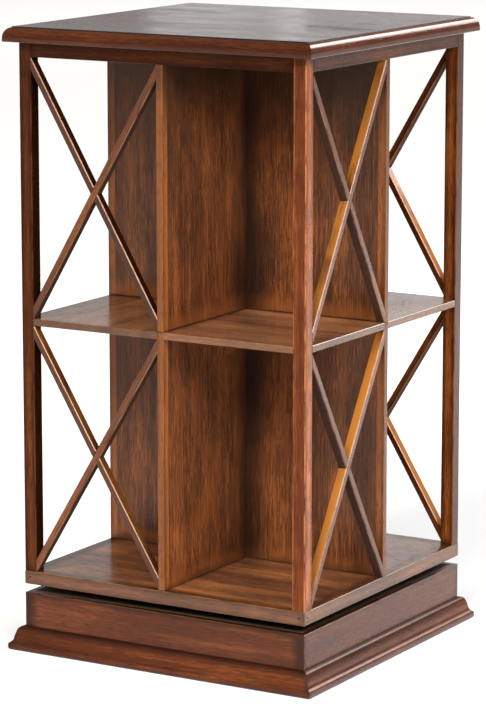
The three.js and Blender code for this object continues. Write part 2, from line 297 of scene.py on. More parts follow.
# ---- finishes ----
# cells of noise to the metre along, across and through a board
SWAY = (2.2, 9.0, 9.0)
RIBBON = (0.9, 34.0, 34.0)
STREAK = (5.0, 420.0, 420.0)
FLECK = (42.0, 620.0, 620.0)
PATCH = (6.0, 13.0, 13.0)
PORES = (75.0, 820.0, 820.0)
LIPPING_GRAIN = (3.0, 120.0, 120.0)
RAGGED_RUB = (12.0, 30.0, 30.0)
RAGGED_GLAZE = (16.0, 24.0, 24.0)
UNEVEN_RUB = (9.0, 3.0, 3.0)
UNEVEN_WEAR = (26.0, 60.0, 60.0)
SMEAR = (5.0, 14.0, 14.0)
RIPPLE = (60.0, 90.0, 90.0)
WAVE = (9.0, 22.0, 22.0)


def scaled(colour: Colour, level: float) -> Colour:
    """A colour made darker or lighter."""
    return tuple(c * level for c in colour)


@dataclass(frozen=True)
class Mahogany:
    """Stained and polished mahogany, with its grain laid along each board."""

    name: str
    dark: Colour
    middle: Colour
    light: Colour
    figure: float  # how strongly broad patches of figure show, 0 to 1
    gloss: float  # roughness of the polish
    glaze: float  # how dark the glaze is that was left round the board's edges, 0 to 1
    tint: Colour  # what the stained polish does to the colour of what it mirrors
    grain: float = 0.5  # how strongly the fine grain shows
    sheen: float = 1.6  # refractive index of the polish
    wave: float = 0.0  # how far the polish waves, which breaks up what it mirrors
    smears: float = 0.16  # how much the polish's roughness varies from patch to patch
    arris_wear_and_light: float = 0.25  # how far the arrises are rubbed through and lightened, partly as a painted highlight along them, 0 to 1
    # the colour of the worn arrises, which stands partly for a painted highlight
    worn_and_lit: Colour = (0.42, 0.16, 0.045)
    upward_light: float = 0.0  # how strongly the sides that face upwards are painted lighter, as light falling on them, 0 to 1
    # the colour painted on sides that face upwards as the light on them
    rubbed_and_lit: Colour = (0.46, 0.168, 0.026)
    lipping: float = 0.0  # width of the solid strip glued along each long edge
    joint_heights: tuple[float, ...] = ()  # heights where a shelf or floor meets the board
    corner_shade: float = 0.0  # how dark the painted shade is on an upright board beside its middle and below its top, 0 to 1
    rim: float = 0.0  # width of the dark line round the board, a painted shadow where its edge steps down to the nose

    def make(self) -> bpy.types.Material:
        """Builds the material."""
        r = BoardRecipe(self.name)
        bent = r.place + (r.noise(r.place, SWAY) - 0.5) * (0.0, 0.030, 0.030)
        streak = r.noise(bent, STREAK, 3.0, 0.65) - 0.5
        fleck = r.noise(bent, FLECK, 2.0, 0.6) - 0.5
        patch = r.noise(bent, PATCH, 4.0, 0.55) - 0.5
        pores = r.ease(r.noise(r.place, PORES, 1.0), 0.57, 0.68)
        fine = (streak * 0.9 + fleck) * self.grain
        ribbon = r.noise(bent, RIBBON, 3.0, 0.55) - 0.5
        value = ribbon * (1.1 - 0.4 * self.figure) + fine + patch * (1.3 * self.figure)
        wood = r.ramp(value + 0.5, ((0.14, self.dark), (0.50, self.middle), (0.86, self.light)))
        if self.lipping:
            wood = self._lip(r, wood)
        wood = r.blend(pores * 0.62, wood, self.dark)
        wood = r.blend(self._rubbed_foot(r), wood, self.light)
        # glaze round the ends and edges, dark joint lines, and painted shade beside the middle and under
        # the top
        glaze_and_shade = self._glaze_and_shade(r)
        wood = r.blend(glaze_and_shade, wood, scaled(self.dark, 0.45))
        under = 0.0
        # painted light on the sides that face upwards
        if self.upward_light:
            up = r.facing_up()
            lit = self._upward_light(r, up, patch + 0.5 + fine * 0.4)
            wood = r.blend(lit * self.upward_light, wood, self.rubbed_and_lit)
            # painted shade on the sides that face downwards, which are made rougher too
            under = r.ease(0.0 - up, 0.2, 0.5)
            wood = r.blend(under * 0.85, wood, scaled(self.dark, 0.5))
        # each board's tone, which on some boards is painted light or shade
        wood = r.blend(1.0, self._edges(r, wood), r.tone, "MULTIPLY")

        smear = (r.noise(r.place, SMEAR, 4.0, 0.6) - 0.5) * self.smears
        roughness = self.gloss + smear + pores * 0.10 + glaze_and_shade * 0.06 + under * 0.85
        height = streak * 0.35 + fleck * 0.3 - pores * 0.6 + r.noise(r.place, RIPPLE, 2.0)
        if self.wave:
            height = height + r.noise(r.place, WAVE, 2.0) * self.wave
        return r.finish(Base_Color=wood, Roughness=roughness, Normal=r.bump(height, 0.10 * MM, 0.40),
                        IOR=self.sheen, Specular_Tint=(*self.tint, 1.0))

    def _lip(self, r: BoardRecipe, wood: Socket) -> Socket:
        """Lays the plainer, lighter strips along both long edges, with a fine glue line."""
        grain = r.noise(r.place + (1.7, 0.4, 2.9), LIPPING_GRAIN, 3.0, 0.6)
        bands = tuple((stop, scaled(self.light, level))
                      for stop, level in ((0.24, 0.55), (0.52, 0.95), (0.80, 1.4)))
        line = 1.0 - r.ease(abs(r.to_edge - self.lipping), 0.15 * MM, 0.75 * MM)
        lipped = r.blend(r.to_edge.below(self.lipping), wood, r.ramp(grain, bands))
        return r.blend(line * 0.75, lipped, self.dark)

    def _edges(self, r: BoardRecipe, wood: Socket) -> Socket:
        """Wears and lightens the arrises, partly as painted highlight, darkens the end grain and paints a
        shadow line round the board.
        """
        # worn arrises, lightened also as a painted highlight along them
        rubbed_and_lit = r.arris * r.ease(r.noise(r.place, UNEVEN_WEAR, 2.0), 0.34, 0.60)
        wood = r.blend(rubbed_and_lit * self.arris_wear_and_light, wood, self.worn_and_lit)
        wood = r.blend(r.to_end.below(0.25 * MM) * 0.55, wood, scaled(self.dark, 0.6))
        # a painted shadow line round the board's edge
        if self.rim:
            rim_shadow = r.to_end.least(r.to_edge).below(self.rim)
            wood = r.blend(rim_shadow * 0.9, wood, scaled(self.dark, 0.3))
        return wood

    @staticmethod
    def _upward_light(r: BoardRecipe, up: Socket, figure: Socket) -> Socket:
        """Where a side that faces upwards is painted lighter, as the light falling on it: least where
        figure and tone are dark.
        """
        facing = r.ease(up, 0.36, 0.48) * r.ease(figure, 0.30, 0.52)
        return facing * r.ease(r.tone, 0.52, 0.84) * r.ease(r.noise(r.place, UNEVEN_RUB), 0.28, 0.46)

    def _rubbed_foot(self, r: BoardRecipe) -> Socket | float:
        """Where cloths have rubbed the stain lighter, in a band just above each shelf and floor."""
        if not self.joint_heights:
            return 0.0
        height = r.height()
        ragged = (r.noise(r.place + (3.1, 8.2, 1.4), RAGGED_RUB, 3.0) - 0.5) * 0.030
        mask = 0.0
        for level in self.joint_heights:
            over = height - level
            mask = over.above(0.0) * (1.0 - r.ease(over + ragged, 0.006, 0.030)) * 0.40 + mask
        return mask

    def _glaze_and_shade(self, r: BoardRecipe) -> Socket:
        """Where dark glaze was left near ends and edges and where other boards meet this one, with painted
        shade beside the board's middle and below its top.
        """
        ragged = r.noise(r.place, RAGGED_GLAZE, 4.0, 0.65) - 0.5
        nearest = r.to_end.least(r.to_edge * 1.6) + ragged * 0.020
        mask = (1.0 - r.ease(nearest, 0.0, 0.016)) * self.glaze
        for level in self.joint_heights:
            over = abs(r.height() - level) + ragged * 0.004
            mask = mask.most((1.0 - r.ease(over, 0.0006, 0.0035)) * 0.9)
        # painted shade in the inner corner beside the middle and under the top
        if self.corner_shade:
            for distance, start, end in ((r.from_middle + ragged * 0.030, 0.002, 0.062),
                                         (r.from_top + ragged * 0.040, 0.030, 0.150)):
                mask = mask.most((1.0 - r.ease(distance, start, end)) * self.corner_shade)
        return mask.least(1.0)


@dataclass(frozen=True)
class PlainTimber:
    """Secondary wood, sawn and given one thin coat of dark stain."""

    name: str
    pale: Colour
    warm: Colour

    def make(self) -> bpy.types.Material:
        """Builds the material."""
        r = Recipe(self.name)
        place = r.attribute("board") + r.attribute("board_offset")
        sway = (r.noise(place, (3.0, 8.0, 8.0)) - 0.5) * (0.0, 0.02, 0.02)
        rings = r.noise(place + sway, (1.5, 110.0, 110.0), 3.0, 0.6)
        fuzz = r.noise(place, (60.0, 900.0, 900.0), 2.0)
        colour = r.ramp(rings * 0.8 + fuzz * 0.2, ((0.34, self.warm), (0.62, self.pale)))
        saw = r.noise(place, (420.0, 6.0, 6.0), 1.0)
        normal = r.bump(fuzz * 0.6 + saw * 0.4, 0.2 * MM, 0.5)
        return r.finish(Base_Color=colour, Roughness=0.62 + rings * 0.2, Normal=normal, IOR=1.45)


@dataclass(frozen=True)
class PlatedSteel:
    """Zinc-plated or polished steel with fine scuffs and a few dull spots."""

    name: str
    colour: Colour
    polish: float  # roughness where it is clean
    spotting: float  # how much dull spotting it has, 0 to 1

    def make(self) -> bpy.types.Material:
        """Builds the material."""
        r = Recipe(self.name)
        place = r.node("TexCoord", None, "Object")
        cloud = r.noise(place, (45.0, 45.0, 45.0), 4.0, 0.6)
        spangle = r.noise(place, (260.0, 260.0, 260.0), 2.0)
        scuff = r.noise(place, (900.0, 60.0, 300.0), 2.0)
        spots = r.ease(cloud, 0.56, 0.70) * self.spotting
        colour = r.blend(spots, self.colour, scaled(self.colour, 0.55))
        colour = r.blend((spangle - 0.4).most(0.0), colour, scaled(self.colour, 1.15))
        roughness = self.polish + spots * 0.3 + scuff * 0.12
        normal = r.bump(scuff * 0.5 + spangle * 0.5, 0.03 * MM, 0.4)
        return r.finish(Base_Color=colour, Metallic=1.0, Roughness=roughness, Normal=normal)


@dataclass(frozen=True)
class FloorPaint:
    """The studio's plain pale floor."""

    name: str
    colour: Colour

    def make(self) -> bpy.types.Material:
        """Builds the material."""
        r = Recipe(self.name)
        place = r.node("TexCoord", None, "Object")
        cloud = r.noise(place, (0.6, 0.6, 0.6), 3.0)
        colour = r.blend(cloud, self.colour, scaled(self.colour, 0.985))
        return r.finish(Base_Color=colour, Roughness=0.85, IOR=1.3)


class Finish(Enum):
    """The finishes on this bookcase and their record slots."""

    CASE = ("case_mahogany", Mahogany(
        "polished_case", (0.022, 0.0055, 0.0028), (0.138, 0.0355, 0.0095), (0.350, 0.100, 0.019),
        figure=0.45, gloss=0.21, glaze=0.75, tint=(0.65, 0.22, 0.12), grain=0.72, sheen=1.48))
    FLOOR = ("case_mahogany", Mahogany(
        "polished_floor", (0.040, 0.0140, 0.0060), (0.122, 0.046, 0.0225), (0.320, 0.122, 0.034),
        figure=0.9, gloss=0.20, glaze=0.6, tint=(1.0, 0.74, 0.62), grain=0.55, arris_wear_and_light=0.45))
    PLINTH = ("case_mahogany", Mahogany(
        "polished_plinth", (0.020, 0.0055, 0.0028), (0.070, 0.0178, 0.0064), (0.210, 0.056, 0.013),
        figure=0.45, gloss=0.25, glaze=0.8, tint=(0.72, 0.40, 0.31), sheen=1.55))
    VENEER = ("mahogany_veneer", Mahogany(
        "veneered_partition", (0.021, 0.0115, 0.0066), (0.112, 0.036, 0.0130), (0.310, 0.096, 0.024),
        figure=0.80, gloss=0.26, glaze=0.5, tint=(1.0, 0.62, 0.48), grain=1.0, sheen=1.5,
        lipping=13.0 * MM, joint_heights=CASE_HEIGHTS, corner_shade=0.8))
    SHELF = ("mahogany_veneer", Mahogany(
        "veneered_shelf", (0.050, 0.0200, 0.0100), (0.200, 0.082, 0.0380), (0.400, 0.175, 0.066),
        figure=0.6, gloss=0.17, glaze=0.35, tint=(1.0, 0.84, 0.74), grain=0.45))
    LATTICE = ("lattice_mahogany", Mahogany(
        "polished_lattice", (0.022, 0.0055, 0.0028), (0.098, 0.023, 0.0062), (0.300, 0.082, 0.015),
        figure=0.25, gloss=0.11, glaze=0.45, tint=(1.0, 0.62, 0.46), sheen=1.7, arris_wear_and_light=0.22,
        worn_and_lit=(0.60, 0.30, 0.14), upward_light=0.86))
    TOP = ("top_mahogany", Mahogany(
        "polished_top", (0.012, 0.0045, 0.0026), (0.042, 0.0130, 0.0058), (0.110, 0.036, 0.012),
        figure=0.45, gloss=0.16, glaze=0.25, tint=(1.0, 0.85, 0.70), sheen=1.5, wave=3.0, smears=0.50,
        arris_wear_and_light=0.0, rim=0.9 * MM))
    NOSE = ("top_mahogany", Mahogany(
        "polished_nose", (0.018, 0.0045, 0.0022), (0.062, 0.0140, 0.0050), (0.190, 0.048, 0.012),
        figure=0.35, gloss=0.15, glaze=0.2, tint=(0.90, 0.58, 0.46), grain=0.45))
    PLAIN = ("plain_wood", PlainTimber("sawn_timber", (0.070, 0.042, 0.022), (0.030, 0.017, 0.009)))
    PLATE = ("plated_steel", PlatedSteel("zinc_plate", (0.60, 0.61, 0.62), 0.32, 0.5))
    BALL = ("ball_steel", PlatedSteel("bearing_steel", (0.78, 0.79, 0.80), 0.14, 0.15))
    SCREW = ("screw_steel", PlatedSteel("screw_metal", (0.58, 0.56, 0.52), 0.36, 0.4))

    @property
    def slot(self) -> str:
        """The record's material slot."""
        return self.value[0]

    def material(self) -> bpy.types.Material:
        """The finish's material, built the first time it is asked for."""
        recipe = self.value[1]
        return bpy.data.materials.get(recipe.name) or recipe.make()


# ---- joinery ----
class Sawn(Enum):
    """The plane that a board's outline is drawn in: its two directions, then the way it is thick."""

    PLAN = (X_AXIS, Y_AXIS, Z_AXIS)
    FRONT = (X_AXIS, Z_AXIS, Y_AXIS)

    def point(self, across: float, up: float, depth: float) -> Vector:
        """The point at these distances in the plane and through it."""
        first, second, third = self.value
        return first * across + second * up + third * depth


def sawn_board(plane: Sawn, outline: Outline, near: float, far: float) -> Work:
    """Cuts a board to an outline.

    Args:
        plane: The plane the outline is drawn in.
        outline: The outline's corners.
        near: Where the board starts through the plane.
        far: Where it ends.

    Returns:
        The board.
    """
    bm = bmesh.new()
    face = bm.faces.new([bm.verts.new(plane.point(a, b, near)) for a, b in outline])
    thicken(bm, [face], plane.value[2] * (far - near))
    return bm


def extruded(bm: Work, faces: Iterable[bmesh.types.BMFace]) -> list[bmesh.types.BMVert]:
    """Extrudes faces on the spot, and gives the new vertices, which are then moved."""
    grown = bmesh.ops.extrude_face_region(bm, geom=list(faces))["geom"]
    return [item for item in grown if isinstance(item, bmesh.types.BMVert)]


def thicken(bm: Work, faces: Iterable[bmesh.types.BMFace], way: Vector) -> None:
    """Carries faces along and joins them to where they were, which makes a solid."""
    bmesh.ops.translate(bm, verts=extruded(bm, faces), vec=way)
    bmesh.ops.recalc_face_normals(bm, faces=bm.faces)


def rectangle(low: Sequence[float], high: Sequence[float]) -> Outline:
    """A rectangle's corners."""
    return [(low[0], low[1]), (high[0], low[1]), (high[0], high[1]), (low[0], high[1])]


def sharp_edges(bm: Work) -> list[bmesh.types.BMEdge]:
    """The outer edges where two flat sides meet."""
    return [e for e in bm.edges if e.is_manifold and e.is_convex and e.calc_face_angle(0.0) > SHARP]


def ease_arrises(bm: Work, edges: Sequence[bmesh.types.BMEdge], width: float, segments: int = 3) -> None:
    """Rounds edges over, or chamfers them, and marks them as arrises, where the finish wears and is
    lightened, partly as painted highlight.

    Args:
        bm: The board.
        edges: The edges to round.
        width: How far the round reaches onto each face.
        segments: Faces across the round, or CHAMFER.
    """
    layer = bm.faces.layers.float.get("board_arris") or bm.faces.layers.float.new("board_arris")
    made = bmesh.ops.bevel(bm, geom=list(edges), offset=width, offset_type="OFFSET", affect="EDGES",
                           segments=segments, profile=0.5, clamp_overlap=True, material=-1)
    for face in made["faces"]:
        face[layer] = 1.0


def lay_grain(bm: Work, name: str, along: Vector, across: Vector, depth_of_tone: float = 1.0) -> None:
    """Writes where each point lies in its board, which the wood finishes read.

    Args:
        bm: The board, still in its front or first place.
        name: The board's name, which sets its figure and tone.
        along: The direction of the grain.
        across: The direction across the board's face.
        depth_of_tone: What the board's tone is multiplied by; lower is darker.
    """
    through = along.cross(across)
    axes = Matrix((along, across, through))
    places = [axes @ vert.co for vert in bm.verts]
    low = Vector([min(p[i] for p in places) for i in range(3)])
    high = Vector([max(p[i] for p in places) for i in range(3)])
    chance = random.Random(name)
    offset = Vector([chance.uniform(*FIGURE_PLACES) for _ in range(3)])
    tone = TONES_AND_PAINTED_LIGHT.get(name, chance.uniform(*COMMON_TONES)) * depth_of_tone
    vectors = bm.verts.layers.float_vector
    board, half, shift = (vectors.new(key) for key in ("board", "board_half", "board_offset"))
    shade = bm.verts.layers.float.new("board_tone")
    if not bm.faces.layers.float.get("board_arris"):
        bm.faces.layers.float.new("board_arris")
    middle, reach = (low + high) / 2, (high - low) / 2
    for vert, place in zip(bm.verts, places):
        vert[board] = place - middle
        vert[half] = reach
        vert[shift] = offset
        vert[shade] = tone


def quarter_turn(bm: Work, quarter: int) -> None:
    """Turns a piece by quarter turns about the bookcase's upright axis."""
    turn = Matrix.Rotation(quarter * math.pi / 2, 3, "Z")
    bmesh.ops.rotate(bm, verts=bm.verts, cent=(0.0, 0.0, 0.0), matrix=turn)


def set_down(bm: Work, name: str, finish: Finish, body: str, stands_for: Sequence[str],
             crease: float = CREASE) -> None:
    """Makes the finished piece from its mesh, dresses it and fits it to its body.

    Args:
        bm: The piece's mesh in its place. It is freed.
        name: The piece's name.
        finish: Its finish.
        body: The body it moves with.
        stands_for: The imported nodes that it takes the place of.
        crease: The angle in degrees past which an edge stays sharp.
    """
    mesh = bpy.data.meshes.new(name)
    for face in bm.faces:
        face.smooth = True
    bm.to_mesh(mesh)
    bm.free()
    mesh.set_sharp_from_angle(angle=math.radians(crease))
    mesh.materials.append(finish.material())
    piece = bpy.data.objects.new(name, mesh)
    bpy.context.scene.collection.objects.link(piece)
    flats = piece.modifiers.new("flat_faces", "WEIGHTED_NORMAL")
    flats.keep_sharp = True
    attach(piece, body)
    if stands_for:
        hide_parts(*stands_for)
    LOG.info("%s: %d faces on %s", name, len(mesh.polygons), body)


def fit_board(bm: Work, node: str, name: str, finish: Finish, body: str, along: Vector, across: Vector,
              quarter: int = 0, crease: float = CREASE) -> None:
    """Lays the grain in a board, turns it to its side of the bookcase and sets it down.

    Args:
        bm: The board, in the place of the first of its kind.
        node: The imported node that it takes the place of.
        name: The finished piece's name.
        finish: Its finish.
        body: The body it moves with.
        along: The direction of the grain.
        across: The direction across the board's face.
        quarter: How many quarter turns its place is from the first one's.
        crease: The angle in degrees past which an edge stays sharp.
    """
    lay_grain(bm, node, along, across)
    quarter_turn(bm, quarter)
    set_down(bm, name, finish, body, [node], crease)


def node_rectangle(node: str, plane: Sawn) -> tuple[Outline, float, float]:
    """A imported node's box as an outline in a plane, with where it starts and ends through it."""
    low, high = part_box(node)
    first, second, third = plane.value
    outline = rectangle((low @ first, low @ second), (high @ first, high @ second))
    return outline, low @ third, high @ third


def gather(parts: Iterable[Work]) -> Work:
    """Puts several meshes, with what they carry, into one. The meshes are freed."""
    whole = bmesh.new()
    for part in parts:
        carrier = bpy.data.meshes.new("carrier")
        part.to_mesh(carrier)
        part.free()
        whole.from_mesh(carrier)
        bpy.data.meshes.remove(carrier)
    return whole


def arc(start: Sequence[float], control: Sequence[float], end: Sequence[float], steps: int) -> Outline:
    """Points along a curve from start to end that leans towards control, without its first point."""
    first, pull, last = Vector(start), Vector(control), Vector(end)
    shares = (step / steps for step in range(1, steps + 1))
    return [tuple(first * (1 - t) ** 2 + pull * 2 * t * (1 - t) + last * t ** 2) for t in shares]


def spun(section: Outline, steps: int) -> Work:
    """Turns a section of (radius, height) about the upright axis."""
    bm = bmesh.new()
    ring = [bm.verts.new((radius, 0.0, height)) for radius, height in section]
    edges = [bm.edges.new((a, b)) for a, b in zip(ring, ring[1:] + ring[:1])]
    bmesh.ops.spin(bm, geom=ring + edges, cent=(0.0, 0.0, 0.0), axis=Z_AXIS, angle=math.tau, steps=steps,
                   use_merge=True, use_duplicate=False)
    bmesh.ops.remove_doubles(bm, verts=bm.verts, dist=TOUCH / 10)
    bmesh.ops.recalc_face_normals(bm, faces=bm.faces)
    return bm


def mitred(profile: Outline, half_square: float) -> Work:
    """Cuts one length of moulding for the front of a square, mitred at both ends.

    Args:
        profile: Its section as (out from the square's edge, up).
        half_square: Half the square's width.

    Returns:
        The moulding.
    """
    bm = bmesh.new()
    left = [bm.verts.new((-half_square - out, -half_square - out, up)) for out, up in profile]
    bmesh.ops.scale(bm, verts=extruded(bm, [bm.faces.new(left)]), vec=(-1.0, 1.0, 1.0))
    bmesh.ops.recalc_face_normals(bm, faces=bm.faces)
    return bm


def at_height(edge: bmesh.types.BMEdge, height: float) -> bool:
    """True for an edge that lies level at a height."""
    return all(abs(vert.co.z - height) < TOUCH for vert in edge.verts)


def runs(edge: bmesh.types.BMEdge, direction: Vector) -> bool:
    """True for an edge that runs along a direction."""
    return abs((edge.verts[1].co - edge.verts[0].co).normalized().dot(direction)) > PARALLEL


# ---- the base ----
@dataclass
class Base:
    """The standing base: plinth boards, their moulding, the deck and its glue blocks."""

    arris: float = 0.8 * MM
    deck_arris: float = 0.4 * MM
    block_arris: float = 0.5 * MM
    toe: float = 15.5 * MM  # how far out the flat of the moulding's underside reaches
    shoulder_height: float = 34.5 * MM
    # the curves up the moulding's face as (control, end), each (out, up) in millimetres
    curves: tuple[tuple[tuple[float, float], tuple[float, float]], ...] = (
        ((19.0, 0.5), (19.0, 5.5)), ((19.0, 9.5), (17.5, 10.5)), ((13.6, 12.5), (12.6, 16.5)),
        ((11.6, 22.0), (9.8, 27.0)), ((8.0, 33.0), (3.5, 34.0)))
    curve_steps: int = 8

    def build(self) -> None:
        """Builds and dresses the base."""
        for side in SIDES:
            self._board(side)
        for quarter, side in enumerate(SIDES):
            self._moulding(quarter, side)
        self._deck()
        for quarter, corner in enumerate(POST_CORNERS):
            self._block(quarter, corner)

    def _board(self, side: str) -> None:
        """One of the plinth's four upright boards; the side boards' ends show at front and back."""
        node = f"plinth_{side}"
        bm = sawn_board(Sawn.PLAN, *node_rectangle(node, Sawn.PLAN))
        low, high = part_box(node)
        long_side = side in ("left", "right")
        across_face = X_AXIS if long_side else Y_AXIS
        outward = 1.0 if side in ("right", "back") else -1.0
        outer = (high if outward > 0 else low) @ across_face
        outer_edges = [e for e in bm.edges
                       if all(abs(v.co @ across_face - outer) < TOUCH for v in e.verts)
                       and not at_height(e, low.z)
                       and (long_side or not runs(e, Z_AXIS))]
        ease_arrises(bm, outer_edges, self.arris, CHAMFER)
        along = Y_AXIS if long_side else X_AXIS
        fit_board(bm, node, f"plinth_board_{side}", Finish.PLINTH, "base", along, Z_AXIS)

    def _profile(self) -> Outline:
        """The moulding's section: a round toe, a face that sweeps up steeply, and a round shoulder."""
        points = [(0.0, 0.0), (self.toe, 0.0)]
        for curve in self.curves:
            control, end = (tuple(c * MM for c in point) for point in curve)
            points += arc(points[-1], control, end, self.curve_steps)
        return [*points, (0.0, self.shoulder_height)]

    def _moulding(self, quarter: int, side: str) -> None:
        """One side's base moulding."""
        bm = mitred(self._profile(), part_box("plinth_right")[1].x)
        fit_board(bm, f"base_moulding_{side}", f"plinth_moulding_{side}", Finish.PLINTH, "base", X_AXIS,
                  Z_AXIS, quarter, MOULDING_CREASE)

    def _deck(self) -> None:
        """The level board that carries the swivel."""
        bm = sawn_board(Sawn.PLAN, *node_rectangle("base_deck", Sawn.PLAN))
        ease_arrises(bm, sharp_edges(bm), self.deck_arris, 2)
        fit_board(bm, "base_deck", "deck_board", Finish.PLAIN, "base", X_AXIS, Y_AXIS)

    def _block(self, quarter: int, corner: str) -> None:
        """A three-cornered block glued into a corner under the deck."""
        low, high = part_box("glue_block_front_left")
        outline = [(low.x, low.y), (high.x, low.y), (low.x, high.y)]
        bm = sawn_board(Sawn.PLAN, outline, low.z, high.z)
        ease_arrises(bm, sharp_edges(bm), self.block_arris, 2)
        fit_board(bm, f"glue_block_{corner}", f"corner_block_{corner}", Finish.PLAIN, "base", Z_AXIS,
                  X_AXIS, quarter)


# ---- the swivel ----
@dataclass
class Swivel:
    """The ball-bearing swivel: two pressed plates, a caged ring of balls and the screws."""

    corner: float = 14.0 * MM
    corner_steps: int = 8
    sheet: float = 1.5 * MM
    sheet_edge: float = 0.3 * MM
    opening: float = 52.0 * MM  # radius of the hole in the middle of each plate
    race_radius: float = 80.0 * MM
    race_half_width: float = 9.0 * MM
    race_height: float = 3.5 * MM
    race_edge: float = 0.5 * MM
    race_sink: float = 0.2 * MM  # how far the race runs down into its sheet
    ball: float = 3.1 * MM  # radius
    ball_clearance: float = 0.4 * MM
    ball_count: int = 18
    ball_faces: tuple[int, int] = (20, 12)  # round it and from pole to pole
    cage_half_width: float = 6.5 * MM
    cage_sheet: float = 0.9 * MM
    groove_steps: int = 10
    ring_steps: int = 96

    @property
    def middle(self) -> float:
        """The height of the balls' centres, half-way between the plates."""
        return (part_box("swivel_plate_lower")[0].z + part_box("swivel_plate_upper")[1].z) / 2

    def build(self) -> None:
        """Builds and dresses the swivel."""
        lower = self._plate(*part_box("swivel_plate_lower"))
        upper = lower.copy()
        set_down(lower, "swivel_plate_lower_steel", Finish.PLATE, "base", ["swivel_plate_lower"])
        turn = Matrix.Rotation(math.pi, 3, "X")
        bmesh.ops.rotate(upper, verts=upper.verts, cent=(0.0, 0.0, self.middle), matrix=turn)
        set_down(upper, "swivel_plate_upper_steel", Finish.PLATE, "rack", ["swivel_plate_upper"])
        self._cage()
        for level, body in (("lower", "base"), ("upper", "rack")):
            for corner in POST_CORNERS:
                self._screw(f"screw_{level}_{corner}", body)

    def _plate(self, low: Vector, high: Vector) -> Work:
        """The lower plate: a sheet with rounded corners and a round opening, and its raised race."""
        bm = bmesh.new()
        square = [bm.verts.new((x, y, low.z)) for x, y in rectangle(low, high)]
        rim = [bm.edges.new((a, b)) for a, b in zip(square, square[1:] + square[:1])]
        bmesh.ops.bevel(bm, geom=square + rim, offset=self.corner, affect="VERTICES",
                        segments=self.corner_steps, profile=0.5, material=-1)
        centre = Matrix.Translation((0.0, 0.0, low.z))
        bmesh.ops.create_circle(bm, segments=self.ring_steps, radius=self.opening, matrix=centre)
        bmesh.ops.bridge_loops(bm, edges=bm.edges)
        bmesh.ops.recalc_face_normals(bm, faces=bm.faces)
        thicken(bm, bm.faces, Z_AXIS * self.sheet)
        ease_arrises(bm, sharp_edges(bm), self.sheet_edge, 2)
        race = spun(self._race_section(low.z + self.sheet), self.ring_steps)
        return gather([bm, race])

    def _race_section(self, sheet_top: float) -> Outline:
        """The race's section: an upstand with a round groove for the balls."""
        edge, foot, top = self.race_edge, sheet_top - self.race_sink, sheet_top + self.race_height
        groove = self.ball + self.ball_clearance
        lip = math.acos((self.middle - top) / groove)
        inner, outer = self.race_radius - self.race_half_width, self.race_radius + self.race_half_width
        section = [(inner, foot), (outer, foot), (outer, top - edge), (outer - edge, top)]
        for step in range(self.groove_steps + 1):
            angle = lip - 2 * lip * step / self.groove_steps
            section.append((self.race_radius + groove * math.sin(angle),
                            self.middle - groove * math.cos(angle)))
        return [*section, (inner + edge, top), (inner, top - edge)]

    def _cage(self) -> None:
        """The balls and the thin ring that keeps them apart."""
        low, high = self.middle - self.cage_sheet / 2, self.middle + self.cage_sheet / 2
        inner, outer = self.race_radius - self.cage_half_width, self.race_radius + self.cage_half_width
        parts = [spun(rectangle((inner, low), (outer, high)), self.ring_steps)]
        for index in range(self.ball_count):
            turn = Matrix.Rotation(math.tau * index / self.ball_count, 4, "Z")
            place = turn @ Matrix.Translation((self.race_radius, 0.0, self.middle))
            ball = bmesh.new()
            bmesh.ops.create_uvsphere(ball, u_segments=self.ball_faces[0], v_segments=self.ball_faces[1],
                                      radius=self.ball, matrix=place)
            parts.append(ball)
        set_down(gather(parts), "ball_ring", Finish.BALL, "ball_cage", ["ball_cage"])

    def _screw(self, node: str, body: str) -> None:
        """A pan-head screw, cut as the frame has it and shaded with its edges kept."""
        bm = bmesh.new()
        bm.from_mesh(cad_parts[node].data)
        bmesh.ops.remove_doubles(bm, verts=bm.verts, dist=TOUCH / 10)
        bmesh.ops.recalc_face_normals(bm, faces=bm.faces)
        bmesh.ops.dissolve_limit(bm, angle_limit=math.radians(1.0), verts=bm.verts, edges=bm.edges)
        set_down(bm, node.replace("screw", "wood_screw"), Finish.SCREW, body, [node])


